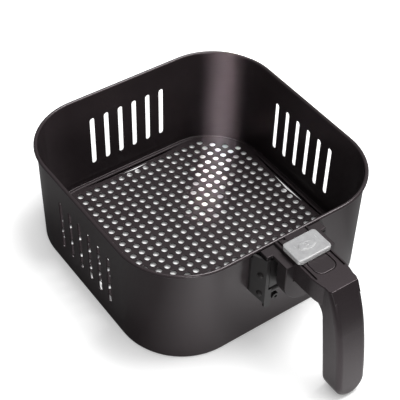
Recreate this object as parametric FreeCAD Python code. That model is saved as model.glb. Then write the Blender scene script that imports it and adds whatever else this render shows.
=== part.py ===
"""Air-fryer basket with a guarded release handle, in millimetres.

The origin is the centre of the basket's base plane. +Z is up, the handle points along -Y, and +X is to
the right of someone who looks along +Y at the handle. Each piece is written to parts/NODE.step.
"""
import FreeCAD, Part
import math
import os
from FreeCAD import Vector as V

# ---------------------------------------------------------------------------------------------------
# Driving dimensions
# ---------------------------------------------------------------------------------------------------

# basket body
rim_width = 220.0              # over the rolled rim, side to side and front to back
basket_height = 95.0           # base plane to the top of the rim
base_inset = 5.7               # how much narrower the walls are at the base than the rim
corner_radius = 54.0           # outside of the upright corners
sheet = 1.0                    # coated steel sheet
rim_bead = 3.2                 # diameter of the rolled rim
base_bend = 1.4                # height and width of the bend between wall and base flange
base_flange = 8.0              # width of the ledge that carries the floor

# vent slots, in the rear and side walls
slot_count = 6
slot_pitch = 13.9
slot_width = 4.6
slot_bottom = 20.0
slot_top = 70.0

# floor
floor_clear = 3.15             # around the floor's raised edge, at the base
floor_corner_radius = 50.0
floor_sheet = 1.0
floor_edge = 2.4               # diameter of the rolled edge
floor_lift = 1.2               # underside of the plate above the foot of its edge
hole_diameter = 5.4
hole_pitch = 8.38
hole_margin = 8.0              # from the outside of the floor to the middle of the outermost holes

# wall bracket, a channel of folded plate that flares towards the wall
bracket_width = 54.0           # over the sides, at the front
bracket_foot = 64.0            # over the sides, at the wall
bracket_plate = 2.0
bracket_foot_depth = 2.5       # straight part of the sides, behind the rim's outermost point
bracket_depth = 12.0           # in front of the outermost point of the rim
bracket_clear = 0.3            # under the collar's wings
bracket_below_rim = 0.8        # clear of the rolled rim
bracket_low_back = 55.0        # lower edge of the sides at the wall
bracket_low_front = 48.5       # and at the front
strip_wide = 6.0               # front strip, below the stay's web
strip_foot_radius = 2.8
strip_narrow = 3.0             # and beside it
strip_bottom = 43.0
strip_step = 62.0              # level where the strip narrows

# collar, the moulding that covers the rim and closes the notch of the pan
plate_gap = 3.4                # rim to the collar's plate
wing_width = 54.4
wing_depth = 8.0
plate_thickness = 3.0
plate_top = 98.0
collar_width = 44.4
collar_reach = 24.0            # depth of plate and block together
pan_gap = 5.0                  # room for the pan's wall between bracket and collar
collar_bottom = 57.0
collar_wall = 2.5
collar_edge_radius = 0.6
window_sill = 1.0              # lower edge of the stay's window above the head's underside

# handle
handle_width = 30.0            # head
grip_width = 26.0
handle_wall = 2.6
mouth_depth = 6.0              # straight part of the cavity behind the collar
head_top = 100.6
head_bottom = 80.0
head_reach = 36.6              # collar's front to the crisp edge where the grip begins
taper_start = 17.0             # collar's front to where the head begins to narrow
taper_end = 41.0
taper_width = 23.0             # there, inside the grip
head_under_radius = 3.0        # lower edges of the head
head_top_radius = 0.8          # upper edges of the head
front_start_angle = 60.5       # slope of the grip's front just below that edge
front_mid_angle = 76.5
front_upper_radius = 136.0
front_lower_radius = 338.0
rear_lean = 81.5               # slope of the grip's rear face
rear_bend_radius = 12.0
rear_bend_start = 17.8         # collar's front to the start of the bend
grip_bottom = 0.4              # clear of the surface that the basket stands on
grip_edge_radius = 4.0
seam_height = 84.0             # parting face of the two shells, in the head
seam_bend_radius = 20.0
seam_bend_start = 18.8

# release button
button_width = 18.2
button_depth = 18.0
button_corner = 6.0
button_centre = 10.8           # in front of the collar
button_wall = 1.6
button_height = 4.3
button_flange = 1.2
button_edge_radius = 0.9
flange_clear = 0.2             # flange below the head's ceiling
stem_diameter = 5.0

# sliding guard
guard_width = 30.0
guard_length = 21.0
guard_height = 4.0
guard_wall = 1.4
guard_corner = 3.0
guard_edge_radius = 1.0
pad_width = 15.0               # oval thumb pad on the guard
pad_depth = 8.0
pad_rise = 0.7
pad_sink = 0.1                 # pad and nub into the guard's top
nub_diameter = 2.4
nub_rise = 1.1
guard_overlap = 3.0            # how far the open guard still covers the button's rear edge
groove_offset = 12.6
groove_width = 1.8
groove_depth = 1.4
groove_front = 21.0            # in front of the collar
rail_inset = 1.2
rail_bury = 2.0                # rails into the guard's side walls
stop_left = -10.8              # small stop behind the guard
stop_right = -6.5
stop_length = 4.8
stop_rise = 0.6                # foot of the stop above the collar's plate
stop_sink = 0.1                # top of the stop below the head's top

# latch
lever_width = 8.0
lever_thickness = 3.0
lever_top = 91.0
hub_radius = 3.6
hub_side = 1.0                 # hub beyond the lever's sides
pin_diameter = 3.0
pivot_back = 2.2               # pivot to the collar's front, towards the basket
hook_drop = 8.0
hook_thickness = 1.6
hook_bevel = 1.0               # lead-in on the hook's rear face
hook_flat = 0.5                # and on its front face
hook_from_wall = 2.0           # hook's rear face to the bracket's front face
lever_nose = 3.8               # lever beyond the middle of the button
cheek_thickness = 3.0
cheek_half_depth = 2.6
cheek_bottom = 85.0

# return spring
spring_radius = 2.9
spring_wire = 0.7
spring_turns = 3.0
spring_rest = 0.05             # from the spring to the seat and to the lever
spring_seat_clear = 0.9        # around the coil's middle line
spring_seat_wall = 1.0
spring_seat_height = 1.4

# steel stay
stay_plate = 2.0
stay_bottom = 64.5             # lower edge of its front web
stay_width = 23.4
stay_half = 23.6               # over the ears, to the middle
stay_arm_level = 87.0          # middle of the arms inside the head
stay_slot = 13.0               # lever's way through the tongue
stay_gate = 17.4               # between the arms, around the bearing cheeks
stay_front = 29.8              # in front of the collar
stay_bar = 10.0
stay_bar_width = 20.2
ear_clear = 1.5                # ears to the rim
ear_bottom = 51.5
ear_drop = 4.0                 # upper edge of the ears below the tongue
slot_lead = 1.2                # lever's way cut into the front web
pad_height = 1.5               # pads of the collar that rest on the stay

# fasteners
wall_rivet_diameter = 4.0
wall_rivet_head = 7.0
wall_rivet_rise = 1.4          # height of its domed head
wall_rivet_spacing = 30.0
wall_rivet_heights = (66.0, 83.0)
rivet_hole_end = 8.0           # behind the rim's outermost point
cross_pin_diameter = 4.0
cross_pin_head = 6.0
cross_pin_rise = 1.3
cross_pin_bury = 1.0           # head's cylinder inside the plate
cross_pin_heights = (57.8, 77.2)
cross_pin_reach = 7.0          # in front of the rim
sleeve_diameter = 8.6
sleeve_length = 41.6
post_diameter = 6.2
post_bore = 2.6
post_bore_start = 3.0          # in front of the rim
post_reach = 9.6               # in front of the rim
post_spacing = 28.0
post_height = 46.5
screw_diameter = 3.0
screw_head = 5.6
screw_head_height = 2.0
screw_head_clear = 0.2
screw_end = 3.0                # end of the head screws below the head's ceiling
boss_diameter = 7.0
rear_boss_diameter = 8.0       # around the head screws' seats
head_screw_spacing = 14.0
collar_screw_spacing = 19.0
collar_screw_head = 4.8
collar_screw_head_height = 1.6
collar_screw_length = 5.6
collar_screw_grip = 2.2        # thread in the collar's plate
grip_screw_heights = (24.0, 54.0)
grip_head_sink = 3.2           # screw head's seat, in from the grip's rear face
grip_screw_length = 14.0

# clearances and cutting lengths
slip = 0.05                    # round pin in a round hole
gap = 0.3                      # between pieces that slide, and at rest between a piece and its stop
past = 1.0                     # a cutter's reach past the face that it opens
bury = 0.5                     # a boss's reach into the wall that carries it
through = 20.0                 # length of a cutter that goes through a wall
across = 140.0                 # length of a blank that crosses the handle from back to front
blank_reach = 5.0              # a blank's reach into the wall, before the wall's form is cut from it

# ---------------------------------------------------------------------------------------------------
# Levels and places that follow from them
# ---------------------------------------------------------------------------------------------------

rim_y = -rim_width / 2
base_width = rim_width - base_inset
floor_width = base_width - 2 * (sheet + floor_clear)
wall_top_width = rim_width - 2 * rim_bead + 2 * sheet
plate_back = rim_y - plate_gap
wing_front = plate_back - wing_depth
bracket_front = rim_y - bracket_depth
collar_back = bracket_front - pan_gap
collar_front = plate_back - collar_reach
head_back = collar_back - collar_wall
head_edge = collar_front - head_reach
button_y = collar_front - button_centre
guard_front = button_y + button_depth / 2 - guard_overlap
pivot_y = collar_front + pivot_back
collar_screw_y = bracket_front - pan_gap / 2
pivot_z = lever_top - lever_thickness / 2
floor_bottom = sheet
head_floor = head_bottom + handle_wall
head_ceiling = head_top - handle_wall
bracket_top = plate_top - plate_thickness - bracket_clear
cross_pin_y = rim_y - cross_pin_reach
screw_bar_y = collar_front - stay_front + stay_bar / 2
head_seat = head_bottom + handle_wall
head_screw_top = head_ceiling - screw_end
cheek_x = lever_width / 2 + hub_side + gap
pin_half = cheek_x + cheek_thickness
guard_back = guard_front + guard_length
stop_foot = plate_top + stop_rise


# ---------------------------------------------------------------------------------------------------
# Helpers
# ---------------------------------------------------------------------------------------------------

def box(x0, x1, y0, y1, z0, z1):
    low = V(min(x0, x1), min(y0, y1), min(z0, z1))
    return Part.makeBox(abs(x1 - x0), abs(y1 - y0), abs(z1 - z0), low)


def rod(radius, start, end):
    """A round bar from one point to another."""
    along = end - start
    return Part.makeCylinder(radius, along.Length, start, along)


def rounded_wire(width, depth, radius, z, centre_y=0.0):
    """A closed rounded rectangle in a level plane, counter-clockwise from its right side."""
    hx, hy = width / 2, depth / 2
    edges = []
    corners = ((hx - radius, hy - radius, 0), (radius - hx, hy - radius, 90),
               (radius - hx, radius - hy, 180), (hx - radius, radius - hy, 270))

    def at(corner, degrees):
        turn = math.radians(degrees)
        return V(corner[0] + radius * math.cos(turn), centre_y + corner[1] + radius * math.sin(turn), z)

    for here, after in zip(corners, corners[1:] + corners[:1]):
        first, middle, last = at(here, here[2]), at(here, here[2] + 45), at(here, here[2] + 90)
        edges.append(Part.Arc(first, middle, last).toShape())
        start_next = at(after, after[2])
        if (start_next - last).Length > 1e-6:
            edges.append(Part.makeLine(last, start_next))
    return Part.Wire(edges)


def rounded_block(width, depth, radius, z0, z1, centre_y=0.0):
    return Part.Face(rounded_wire(width, depth, radius, z0, centre_y)).extrude(V(0, 0, z1 - z0))


def side_face(points, x):
    """A flat face in the plane x, from (y, z) points."""
    return Part.Face(Part.makePolygon([V(x, y, z) for y, z in points + points[:1]]))


def side_plate(points, x0, x1):
    return side_face(points, x0).extrude(V(x1 - x0, 0, 0))


def side_path(start, heading, moves):
    """Edges in the plane x = 0 and the end point.

    The path starts at (y, z). A heading of 0 points along -Y and 90 points down. Each move is
    ("line", length) or ("arc", radius, degrees), and an arc turns downwards.
    """
    y, z = start
    turn = math.radians(heading)
    edges = []

    def ahead(radius, angle):
        return V(0, y - radius * (math.sin(angle) - math.sin(turn)),
                 z - radius * (math.cos(turn) - math.cos(angle)))

    for move in moves:
        here = V(0, y, z)
        if move[0] == "line":
            there = V(0, y - move[1] * math.cos(turn), z - move[1] * math.sin(turn))
            edges.append(Part.makeLine(here, there))
        else:
            end_turn = turn + math.radians(move[2])
            there = ahead(move[1], end_turn)
            edges.append(Part.Arc(here, ahead(move[1], (turn + end_turn) / 2), there).toShape())
            turn = end_turn
        y, z = there.y, there.z
    return edges, (y, z)


def close_side(edges, points):
    """A face in the plane x = 0 from edges that run on, closed through further (y, z) points."""
    last = edges[-1].Vertexes[-1].Point
    first = edges[0].Vertexes[0].Point
    for y, z in points:
        there = V(0, y, z)
        edges.append(Part.makeLine(last, there))
        last = there
    edges.append(Part.makeLine(last, first))
    return Part.Face(Part.Wire(Part.__sortEdges__(edges)))


def both_sides(shape, width):
    """Extrude a face in the plane x = 0 to a width centred on that plane."""
    moved = shape.translated(V(-width / 2, 0, 0))
    return moved.extrude(V(width, 0, 0))


def mirror_x(shape):
    return shape.mirror(V(0, 0, 0), V(1, 0, 0))


def fillet_some(shape, radius, wanted):
    return shape.makeFillet(radius, [edge for edge in shape.Edges if wanted(edge)])


def save(name, shape):
    shape.exportStep(os.path.join("parts", name + ".step"))
    print("%-20s %d solid(s) %10.1f mm3" % (name, len(shape.Solids), shape.Volume))


# ---------------------------------------------------------------------------------------------------
# Basket
# ---------------------------------------------------------------------------------------------------

def wall_width(z):
    """Width over the walls at a height."""
    top = basket_height - rim_bead / 2
    return base_width + (wall_top_width - base_width) * z / top


def wall_envelope(inset=0.0, bottom=0.0, top=basket_height):
    """The solid inside the wall's outer face, drawn in by an inset."""
    wires = []
    if bottom < base_bend:
        bent = wall_width(0) - 2 * (base_bend + inset)
        wires.append(rounded_wire(bent, bent, corner_radius - base_bend - inset, bottom))
        bottom = base_bend
    for z in (bottom, top):
        width = wall_width(z) - 2 * inset
        wires.append(rounded_wire(width, width, corner_radius - inset, z))
    return Part.makeLoft(wires, True, True)


def vent_slot():
    """One upright round-ended cutter through the rear wall, at the middle."""
    radius = slot_width / 2
    y0 = wall_width(0) / 2 - through / 2
    reach = V(0, through, 0)
    slab = box(-radius, radius, y0, y0 + reach.y, slot_bottom + radius, slot_top - radius)
    for z in (slot_bottom + radius, slot_top - radius):
        slab = slab.fuse(rod(radius, V(0, y0, z), V(0, y0, z) + reach))
    return slab


def basket_wall():
    rim_level = basket_height - rim_bead / 2
    outer = wall_envelope(top=rim_level)
    inner = wall_envelope(inset=sheet, bottom=sheet, top=basket_height)
    opening = rounded_block(base_width - 2 * (base_flange + sheet), base_width - 2 * (base_flange + sheet),
                            corner_radius - base_flange - sheet, -past, sheet + past)
    wall = outer.cut(inner).cut(opening)
    path = rounded_wire(rim_width - rim_bead, rim_width - rim_bead, corner_radius + rim_bead / 2, rim_level)
    start = path.Edges[0].Vertexes[0].Point
    ring = Part.Wire(Part.makeCircle(rim_bead / 2, start, V(0, 1, 0)))
    bead = path.makePipeShell([ring], True, True)
    wall = wall.fuse(bead)
    slots = []
    first = -(slot_count - 1) / 2 * slot_pitch
    for k in range(slot_count):
        upright = vent_slot().translated(V(first + k * slot_pitch, 0, 0))
        for quarter in (0, 90, 270):
            slots.append(upright.rotated(V(0, 0, 0), V(0, 0, 1), quarter))
    return wall.cut(Part.makeCompound(slots)).cut(wall_rivet_holes())


def floor_hole_centres():
    """A square grid, kept a margin inside the floor's rounded outline."""
    half = floor_width / 2
    reach = int((half - hole_margin) // hole_pitch)
    corner = half - floor_corner_radius
    keep = floor_corner_radius - hole_margin + slip
    centres = []
    for i in range(-reach, reach + 1):
        for j in range(-reach, reach + 1):
            x, y = i * hole_pitch, j * hole_pitch
            dx, dy = max(abs(x) - corner, 0.0), max(abs(y) - corner, 0.0)
            if math.hypot(dx, dy) <= keep:
                centres.append((x, y))
    return centres


def basket_floor():
    plate_width = floor_width - floor_edge
    radius = floor_corner_radius - floor_edge / 2
    level = floor_bottom + floor_lift
    outline = rounded_wire(plate_width, plate_width, radius, level)
    holes = [Part.Wire(Part.makeCircle(hole_diameter / 2, V(x, y, level), V(0, 0, -1)))
             for x, y in floor_hole_centres()]
    plate = Part.Face([outline] + holes).extrude(V(0, 0, floor_sheet))
    path = rounded_wire(plate_width, plate_width, radius, floor_bottom + floor_edge / 2)
    start = path.Edges[0].Vertexes[0].Point
    ring = Part.Wire(Part.makeCircle(floor_edge / 2, start, V(0, 1, 0)))
    edge = path.makePipeShell([ring], True, True)
    return plate.fuse(edge).removeSplitter()


# ---------------------------------------------------------------------------------------------------
# Bracket, its rivets and cross pins
# ---------------------------------------------------------------------------------------------------

def wall_rivet_places():
    return [(side * wall_rivet_spacing / 2, z) for z in wall_rivet_heights for side in (-1, 1)]


def post_places():
    return [(side * post_spacing / 2, post_height) for side in (-1, 1)]


def wall_rivet_holes():
    start, end = rim_y - blank_reach, rim_y + rivet_hole_end
    return Part.makeCompound([rod(wall_rivet_diameter / 2, V(x, start, z), V(x, end, z))
                              for x, z in wall_rivet_places() + post_places()])


def wall_bracket():
    under_rim = basket_height - rim_bead - bracket_below_rim
    front, foot, plate = bracket_width / 2, bracket_foot / 2, bracket_plate
    inside = rim_y + blank_reach
    tab = post_spacing / 2 + post_diameter
    web = box(-foot, foot, rim_y, inside, bracket_low_back, under_rim)
    low_tab = box(-tab, tab, rim_y, inside, post_height - post_diameter, bracket_low_back)
    deep = rim_y + bracket_foot_depth
    plan = [V(foot, deep, 0), V(foot, rim_y, 0), V(front, bracket_front, 0),
            V(front - plate, bracket_front, 0), V(foot - plate, rim_y, 0), V(foot - plate, deep, 0)]
    side = Part.Face(Part.makePolygon(plan + plan[:1])).extrude(V(0, 0, bracket_top))
    outline = [(inside, bracket_low_back), (rim_y, bracket_low_back), (bracket_front, bracket_low_front),
               (bracket_front, bracket_top), (rim_y - bracket_below_rim, bracket_top),
               (rim_y - bracket_below_rim, under_rim), (inside, under_rim)]
    side = side.common(side_plate(outline, 0, foot))
    strip_back = bracket_front + plate
    strip_low = box(front - strip_wide, front, bracket_front, strip_back, strip_bottom, strip_step)
    strip_low = fillet_some(strip_low, strip_foot_radius, lambda e: e.BoundBox.ZMax < strip_bottom + 1e-6
                            and e.BoundBox.XLength < 1e-6)
    strip_high = box(front - strip_narrow, front, bracket_front, strip_back, strip_step, bracket_top)
    half = side.fuse([strip_low, strip_high])
    shape = web.fuse([low_tab, half, mirror_x(half)])
    shape = shape.cut(wall_envelope(top=basket_height))
    shape = shape.cut(wall_rivet_holes())
    return shape.cut(cross_pin_holes()).removeSplitter()


def bracket_posts(wall):
    """Two tubular posts, riveted through the bracket's lower tab and the wall."""
    posts = []
    for x, z in post_places():
        inside = -wall_width(z) / 2 + sheet
        tube = rod(post_diameter / 2, V(x, rim_y, z), V(x, rim_y - post_reach, z))
        shank = rod(wall_rivet_diameter / 2, V(x, rim_y, z), V(x, inside, z))
        head = dome(wall_rivet_head / 2, wall_rivet_rise, V(x, inside, z), 1)
        bore = rod(post_bore / 2, V(x, rim_y - post_bore_start, z), V(x, rim_y - through, z))
        posts.append(tube.fuse([shank, head]).cut(bore).cut(wall).removeSplitter())
    return Part.makeCompound(posts)


def bracket_rivets(wall):
    """Four rivets through the wall and the bracket's web, with a head at each end."""
    rivets = []
    for x, z in wall_rivet_places():
        inside = -wall_width(z) / 2 + sheet
        shank = rod(wall_rivet_diameter / 2, V(x, rim_y, z), V(x, inside, z))
        inner_head = dome(wall_rivet_head / 2, wall_rivet_rise, V(x, inside, z), 1)
        outer_head = dome(wall_rivet_head / 2, wall_rivet_rise, V(x, rim_y, z), -1)
        rivets.append(shank.fuse([inner_head, outer_head]).removeSplitter())
    return Part.makeCompound([rivet.cut(wall) for rivet in rivets])


def dome(radius, height, base, sense, along=V(0, 1, 0)):
    """A low round head on a base point, standing along +/- an axis."""
    ball_radius = (radius * radius + height * height) / (2 * height)
    axis = along * sense
    ball = Part.makeSphere(ball_radius, base + axis * (height - ball_radius))
    return ball.common(Part.makeCylinder(radius + 1, height + 1, base, axis))


def cross_pin_axes():
    flare = (bracket_foot - bracket_width) / 2 / bracket_depth
    reach = bracket_width / 2 + flare * (cross_pin_y - bracket_front)
    return [(V(-reach, cross_pin_y, z), V(reach, cross_pin_y, z)) for z in cross_pin_heights]


def cross_pin_holes():
    along = V(through, 0, 0)
    return Part.makeCompound([rod(cross_pin_diameter / 2, a - along, b + along) for a, b in cross_pin_axes()])


def cross_pin_end(place, sense):
    """A domed head with a short cylinder that reaches back into the flared side."""
    radius = cross_pin_head / 2
    seat = rod(radius, place - V(sense * cross_pin_bury, 0, 0), place)
    return seat.fuse(dome(radius, cross_pin_rise, place, sense, V(1, 0, 0)))


def cross_pins(bracket):
    pins = []
    for start, end in cross_pin_axes():
        pin = rod(cross_pin_diameter / 2, start, end).fuse([cross_pin_end(start, -1), cross_pin_end(end, 1)])
        pieces = pin.cut(bracket).Solids
        pins.append(max(pieces, key=lambda piece: piece.Volume))
    return Part.makeCompound(pins)


def pin_sleeve():
    start, end = cross_pin_axes()[0]
    half = V(sleeve_length / 2, 0, 0)
    middle = (start + end) * 0.5
    tube = rod(sleeve_diameter / 2, middle - half, middle + half)
    return tube.cut(rod(cross_pin_diameter / 2 + slip, start, end))


def handle_stay():
    """Folded plate: two ears between the bracket's sides, a front web, and two arms into the head."""
    half = stay_half
    web_back = bracket_front + stay_plate
    under_plate = plate_top - plate_thickness
    upper = under_plate - pad_height
    step_y = head_back - stay_plate
    web = box(-half, half, bracket_front, web_back, stay_bottom, upper)
    ear = box(half - stay_plate, half, web_back, rim_y - ear_clear, stay_bottom, upper - ear_drop)
    ear_low = box(half - stay_plate, half, web_back + gap, rim_y - ear_clear, ear_bottom, stay_bottom)
    arm_top = stay_arm_level + stay_plate / 2
    arm_end = collar_front - stay_front
    tongue = [(web_back, upper), (step_y - stay_plate, upper), (step_y - stay_plate, arm_top),
              (arm_end, arm_top), (arm_end, arm_top - stay_plate), (step_y, arm_top - stay_plate),
              (step_y, upper - stay_plate), (web_back, upper - stay_plate)]
    arms = side_plate(tongue, -stay_width / 2, stay_width / 2)
    slot_start = bracket_front - slot_lead
    bar_back, low, high = arm_end + stay_bar, arm_top - through, upper + past
    arms = arms.cut(box(-stay_slot / 2, stay_slot / 2, slot_start, bar_back, low, high))
    arms = arms.cut(box(-stay_gate / 2, stay_gate / 2, step_y, bar_back, low, high))
    for x in (-1, 1):
        arms = arms.cut(box(x * stay_bar_width / 2, x * stay_width, arm_end - past, bar_back, low, high))
    shape = web.fuse([ear, ear_low, mirror_x(ear), mirror_x(ear_low), arms])
    shape = shape.cut(cross_pin_holes())
    for x in (-1, 1):
        bar_hole = V(x * head_screw_spacing / 2, screw_bar_y, arm_top - stay_plate - past)
        top_hole = V(x * collar_screw_spacing / 2, collar_screw_y, upper - stay_plate - past)
        for foot in (bar_hole, top_hole):
            shape = shape.cut(rod(screw_diameter / 2 + slip, foot, foot + V(0, 0, stay_plate + 2 * past)))
    return shape.removeSplitter()


def collar_screws():
    under_tongue = plate_top - plate_thickness - pad_height - stay_plate
    screws = []
    for x in (-1, 1):
        seat = V(x * collar_screw_spacing / 2, collar_screw_y, under_tongue)
        head = rod(collar_screw_head / 2, seat - V(0, 0, collar_screw_head_height), seat)
        shank = rod(screw_diameter / 2, seat, seat + V(0, 0, collar_screw_length))
        screws.append(head.fuse(shank).removeSplitter())
    return Part.makeCompound(screws)


# ---------------------------------------------------------------------------------------------------
# Collar
# ---------------------------------------------------------------------------------------------------

def collar_outline(inset, y0, y1):
    """A strip with a half-round foot, seen from the front."""
    half = collar_width / 2 - inset
    centre = collar_bottom + collar_width / 2
    arch = Part.Arc(V(-half, y0, centre), V(0, y0, centre - half), V(half, y0, centre)).toShape()
    sides = Part.makePolygon([V(half, y0, centre), V(half, y0, plate_top), V(-half, y0, plate_top),
                              V(-half, y0, centre)])
    return Part.Face(Part.Wire([arch] + sides.Edges)).extrude(V(0, y1 - y0, 0))


def collar():
    under_plate = plate_top - plate_thickness
    wings = box(-wing_width / 2, wing_width / 2, wing_front, plate_back, under_plate, plate_top)
    neck = box(-collar_width / 2, collar_width / 2, collar_front, wing_front, under_plate, plate_top)
    block = collar_outline(0, collar_front, collar_back)
    pocket = collar_outline(collar_wall, collar_front + collar_wall, collar_back + past)
    pocket = pocket.common(box(-collar_width, collar_width, collar_front, collar_back + 2 * past, 0,
                               head_bottom - collar_wall))
    block = block.cut(pocket)
    channel = box(-handle_width / 2, handle_width / 2, collar_front - past, head_back, head_bottom, plate_top)
    window = box(-stay_width / 2 - gap, stay_width / 2 + gap, collar_back + past, head_back - past,
                 head_bottom + window_sill, under_plate)
    pads = []
    for x in (-1, 1):
        foot = V(x * collar_screw_spacing / 2, collar_screw_y, under_plate - pad_height)
        pads.append(rod(boss_diameter / 2, foot, foot + V(0, 0, pad_height)))
    shape = wings.fuse([neck, block] + pads)
    shape = shape.cut(channel).cut(window)
    for x in (-1, 1):
        foot = V(x * collar_screw_spacing / 2, collar_screw_y, under_plate - pad_height - past)
        top = V(foot.x, foot.y, under_plate + collar_screw_grip)
        shape = shape.cut(rod(screw_diameter / 2, foot, top))

    def beside_head(edge):
        bounds = edge.BoundBox
        beside = handle_width / 2 + gap
        return bounds.XMin > beside or bounds.XMax < -beside

    return fillet_some(shape.removeSplitter(), collar_edge_radius, beside_head)


# ---------------------------------------------------------------------------------------------------
# Handle shells
# ---------------------------------------------------------------------------------------------------

def handle_side(inset=0.0):
    """The handle's outline from the side, as a face in the plane x = 0."""
    back = head_back
    top, bottom = head_top - inset, head_bottom + inset
    edge = head_edge + inset * math.tan(math.radians(front_start_angle / 2))
    turn_mid = front_mid_angle - front_start_angle
    low = grip_bottom + inset
    upper_r, lower_r = front_upper_radius - inset, front_lower_radius - inset
    front, (y, z) = side_path((edge, top), front_start_angle, [("arc", upper_r, turn_mid)])
    start_cos = math.cos(math.radians(front_mid_angle))
    end_angle = math.degrees(math.acos(max(start_cos - (z - low) / lower_r, -1.0)))
    last_turn = end_angle - front_mid_angle
    more, _ = side_path((y, z), front_mid_angle, [("arc", lower_r, last_turn)])
    bend_start = collar_front - rear_bend_start
    rear_r = rear_bend_radius + inset
    rear, (ry, rz) = side_path((back, bottom), 0, [("line", back - bend_start), ("arc", rear_r, rear_lean)])
    slope = math.radians(rear_lean)
    foot_y = ry - (rz - low) / math.tan(slope)
    outline = front + more
    foot_front = outline[-1].Vertexes[-1].Point
    outline.append(Part.makeLine(foot_front, V(0, foot_y, low)))
    outline.append(Part.makeLine(V(0, foot_y, low), V(0, ry, rz)))
    outline += rear
    outline.append(Part.makeLine(V(0, back, bottom), V(0, back, top)))
    outline.append(Part.makeLine(V(0, back, top), V(0, edge, top)))
    return Part.Face(Part.Wire(Part.__sortEdges__(outline)))


def bend_line(start, end, along):
    """A smooth step from one point to another that leaves and arrives in a given direction."""
    reach = abs((end - start).dot(along)) / 3
    curve = Part.BezierCurve()
    curve.setPoles([start, start + along * reach, end - along * reach, end])
    return curve.toShape()


def grip_strip(inset=0.0):
    """The grip's outline from the front, a strip with a half-round foot, as a solid along Y."""
    half = grip_width / 2 - inset
    low = grip_bottom + inset
    centre = low + half
    y, top = head_back + past - across, head_top + through
    arch = Part.Arc(V(-half, y, centre), V(0, y, low), V(half, y, centre)).toShape()
    sides = Part.makePolygon([V(half, y, centre), V(half, y, top), V(-half, y, top), V(-half, y, centre)])
    return Part.Face(Part.Wire([arch] + sides.Edges)).extrude(V(0, across, 0))


def head_plan(inset=0.0):
    """The head's outline from above, narrowing into the grip, as a solid along Z."""
    tip, head = taper_width / 2 - inset, handle_width / 2 - inset
    near, far = collar_front - taper_start, collar_front - taper_end
    back, z = head_back, head_bottom + inset
    down = V(0, -1, 0)
    edges = [Part.makeLine(V(head, back, z), V(head, near, z)),
             bend_line(V(head, near, z), V(tip, far, z), down),
             Part.makeLine(V(tip, far, z), V(-tip, far, z)),
             bend_line(V(-tip, far, z), V(-head, near, z), down * -1),
             Part.makeLine(V(-head, near, z), V(-head, back, z)),
             Part.makeLine(V(-head, back, z), V(head, back, z))]
    return Part.Face(Part.Wire(Part.__sortEdges__(edges))).extrude(V(0, 0, head_top - inset - z))


def side_slab(inset=0.0):
    return both_sides(handle_side(inset), handle_width + 2 * past)


def handle_form():
    """The full outer form: the grip with its long edges and foot rounded, and the wider head on it."""
    side = side_slab()
    half = grip_width / 2
    grip = side.common(grip_strip())

    def grip_edge(edge):
        bounds = edge.BoundBox
        if abs(abs(bounds.XMin) - half) < 1e-3 and bounds.XLength < 1e-3:
            return bounds.ZMin < head_top - 1e-3 and bounds.YMax < head_back - 1e-3
        return bounds.ZMax < grip_bottom + half + 1e-3 and bounds.XLength > 1

    def under_edge(edge):
        bounds = edge.BoundBox
        return bounds.ZMax < head_bottom + 1e-3 and bounds.YMax - bounds.YMin > 5

    def top_edge(edge):
        bounds = edge.BoundBox
        return bounds.ZMin > head_top - 1e-3 and bounds.YMin < head_back - 1e-3

    grip = fillet_some(grip, grip_edge_radius, grip_edge)
    head = fillet_some(head_plan(), head_under_radius, under_edge).common(side)
    return fillet_some(grip.fuse(head).removeSplitter(), head_top_radius, top_edge)


def seam_zone():
    """Everything behind and below the face where the two shells meet."""
    start = head_back + past
    run = start - (collar_front - seam_bend_start)
    edges, (y, z) = side_path((start, seam_height), 0,
                              [("line", run), ("arc", seam_bend_radius, rear_lean), ("line", head_top)])
    face = close_side(edges, [(start, z)])
    return both_sides(face, handle_width + 2 * through)


def handle_cavity():
    side = side_slab(handle_wall)
    hollow = side.common(grip_strip(handle_wall)).fuse(side.common(head_plan(handle_wall)))
    mouth_half = handle_width / 2 - handle_wall
    mouth = box(-mouth_half, mouth_half, head_back + past, head_back - mouth_depth, head_floor, head_ceiling)
    return hollow.fuse(mouth)


def grip_screw_places():
    """Middle of each screw's head seat, on the grip's rear face."""
    slope = math.tan(math.radians(rear_lean))
    bend = (collar_front - rear_bend_start, head_bottom)
    _, (ry, rz) = side_path(bend, 0, [("arc", rear_bend_radius, rear_lean)])
    return [V(0, ry - (rz - z) / slope, z) for z in grip_screw_heights]


def front_shell_parts():
    """Bosses and bearing cheeks that stand inside the front shell."""
    inner = []
    for x in (-1, 1):
        foot = V(x * head_screw_spacing / 2, screw_bar_y, stay_arm_level + stay_plate / 2)
        inner.append(rod(boss_diameter / 2, foot, V(foot.x, foot.y, head_ceiling + bury)))
        inner.append(box(x * cheek_x, x * pin_half, pivot_y - cheek_half_depth,
                         pivot_y + cheek_half_depth, cheek_bottom, head_ceiling + bury))
    return inner


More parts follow.
